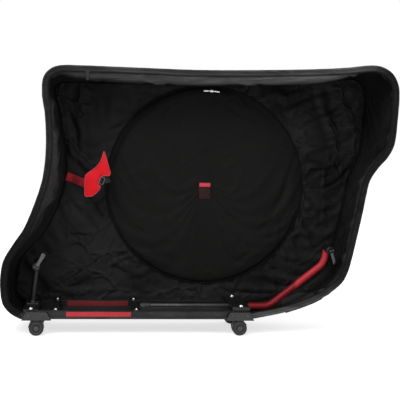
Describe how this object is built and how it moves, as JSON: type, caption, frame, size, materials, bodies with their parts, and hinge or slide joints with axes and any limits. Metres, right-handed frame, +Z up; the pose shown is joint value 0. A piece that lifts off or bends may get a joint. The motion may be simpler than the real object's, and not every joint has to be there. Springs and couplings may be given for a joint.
{
  "type": "soft bike travel bag",
  "caption": "Soft travel bag for a bicycle with its side open: padded shell, wheel pocket, aluminium base frame with fork arm and rear post, and swivelling castors.",
  "frame": {"origin": "centre of the bounding box's lower face, on the ground under the castors", "axes": "+X towards the front of the bag, +Y towards the closed far side, +Z up"},
  "size_m": [1.3178, 0.3695, 0.92],
  "materials": {
    "shell_fabric": "woven, coated",
    "pocket_fabric": "woven, padded",
    "red_webbing": "woven webbing",
    "black_webbing": "woven tape",
    "red_pad": "coated foam",
    "black_plastic": "fine grain",
    "grey_plastic": "fine grain",
    "black_anodised": "black anodised",
    "red_anodised": "red anodised",
    "red_paint": "gloss paint",
    "bright_steel": "bright",
    "wheel_rubber": "matt"
  },
  "bodies": {
    "bag": {"base_fabric": "shell_fabric", "bolt_centre_far": "bright_steel", "bolt_centre_near": "bright_steel", "bolt_front_far": "bright_steel", "bolt_front_near": "bright_steel", "bolt_mid_far": "bright_steel", "bolt_mid_near": "bright_steel", "bolt_rear_far": "bright_steel", "bolt_rear_near": "bright_steel", "castor_shoe_front_far": "grey_plastic", "castor_shoe_front_near": "grey_plastic", "castor_shoe_rear_far": "grey_plastic", "castor_shoe_rear_near": "grey_plastic", "crossbar_centre": "black_anodised", "crossbar_front": "black_anodised", "crossbar_mid": "black_anodised", "crossbar_rear": "black_anodised", "floor_board": "black_plastic", "frame_pad": "red_pad", "gusset_front": "shell_fabric", "gusset_rear": "shell_fabric", "gusset_top": "shell_fabric", "handle_patch": "black_webbing", "hub_tab": "red_webbing", "nose_skid": "grey_plastic", "pad_buckle": "grey_plastic", "pocket_piping": "black_webbing", "pocket_zip": "black_webbing", "rail_far": "black_anodised", "rail_insert_far": "red_anodised", "rail_insert_near": "red_anodised", "rail_near": "black_anodised", "rear_post": "black_anodised", "rear_skewer": "bright_steel", "rear_strap": "red_webbing", "rim_binding": "black_webbing", "side_panel": "shell_fabric", "sleeve_cap": "black_anodised", "sleeve_cradle": "black_plastic", "sleeve_tube": "black_anodised", "wheel_pocket": "pocket_fabric", "zip_tape": "black_webbing", "zip_teeth": "black_plastic"},
    "castor_rear_near": {"castor_hood_rear_near": "black_plastic"},
    "wheels_rear_near": {"castor_wheels_rear_near": "wheel_rubber"},
    "castor_rear_far": {"castor_hood_rear_far": "black_plastic"},
    "wheels_rear_far": {"castor_wheels_rear_far": "wheel_rubber"},
    "castor_front_near": {"castor_hood_front_near": "black_plastic"},
    "wheels_front_near": {"castor_wheels_front_near": "wheel_rubber"},
    "castor_front_far": {"castor_hood_front_far": "black_plastic"},
    "wheels_front_far": {"castor_wheels_front_far": "wheel_rubber"},
    "fork_arm": {"fork_arm": "red_paint", "fork_skewer": "bright_steel"},
    "fork_lever": {"fork_lever": "bright_steel"},
    "rear_lever": {"rear_lever": "bright_steel"},
    "zip_slider": {"zip_slider": "bright_steel"},
    "zip_pull": {"zip_pull": "bright_steel"},
    "pocket_slider": {"pocket_slider": "bright_steel"},
    "carry_handle": {"carry_handle": "black_webbing"}
  },
  "joints": [
    {"name": "castor_swivel_rear_near", "type": "hinge", "parent": "bag", "child": "castor_rear_near", "pos_m": [-0.55104, -0.108, 0.055], "axis": [0, 0, 1], "continuous": true},
    {"name": "wheel_spin_rear_near", "type": "hinge", "parent": "castor_rear_near", "child": "wheels_rear_near", "pos_m": [-0.53804, -0.108, 0.0245], "axis": [0, 1, 0], "continuous": true},
    {"name": "castor_swivel_rear_far", "type": "hinge", "parent": "bag", "child": "castor_rear_far", "pos_m": [-0.55104, 0.108, 0.055], "axis": [0, 0, 1], "continuous": true},
    {"name": "wheel_spin_rear_far", "type": "hinge", "parent": "castor_rear_far", "child": "wheels_rear_far", "pos_m": [-0.53804, 0.108, 0.0245], "axis": [0, 1, 0], "continuous": true},
    {"name": "castor_swivel_front_near", "type": "hinge", "parent": "bag", "child": "castor_front_near", "pos_m": [0.13198, -0.108, 0.055], "axis": [0, 0, 1], "continuous": true},
    {"name": "wheel_spin_front_near", "type": "hinge", "parent": "castor_front_near", "child": "wheels_front_near", "pos_m": [0.14498, -0.108, 0.0245], "axis": [0, 1, 0], "continuous": true},
    {"name": "castor_swivel_front_far", "type": "hinge", "parent": "bag", "child": "castor_front_far", "pos_m": [0.13198, 0.108, 0.055], "axis": [0, 0, 1], "continuous": true},
    {"name": "wheel_spin_front_far", "type": "hinge", "parent": "castor_front_far", "child": "wheels_front_far", "pos_m": [0.14498, 0.108, 0.0245], "axis": [0, 1, 0], "continuous": true},
    {"name": "fork_slide", "type": "slide", "parent": "bag", "child": "fork_arm", "axis": [1, 0, 0], "range_m": [-0.04, 0.008]},
    {"name": "fork_lever_turn", "type": "hinge", "parent": "fork_arm", "child": "fork_lever", "pos_m": [0.46997, -0.0655, 0.284], "axis": [-0.9536, 0, -0.3011], "range_deg": [0, 170]},
    {"name": "rear_lever_turn", "type": "hinge", "parent": "bag", "child": "rear_lever", "pos_m": [-0.54304, -0.0805, 0.222], "axis": [0.867, 0, -0.4983], "range_deg": [0, 170]},
    {"name": "zip_slide", "type": "slide", "parent": "bag", "child": "zip_slider", "axis": [0.9999, 0, -0.0103], "range_m": [0, 0.33]},
    {"name": "zip_pull_swing", "type": "hinge", "parent": "zip_slider", "child": "zip_pull", "pos_m": [-0.38026, -0.1325, 0.87426], "axis": [-0.9999, 0, 0.0103], "range_deg": [0, 150]},
    {"name": "pocket_zip_run", "type": "hinge", "parent": "bag", "child": "pocket_slider", "pos_m": [0.045, 0.1247, 0.49678], "axis": [0, -1, 0], "range_deg": [0, 75]},
    {"name": "handle_swing", "type": "hinge", "parent": "bag", "child": "carry_handle", "pos_m": [-0.06, 0.1386, 0.62], "axis": [1, 0, 0], "range_deg": [0, 150]}
  ]
}
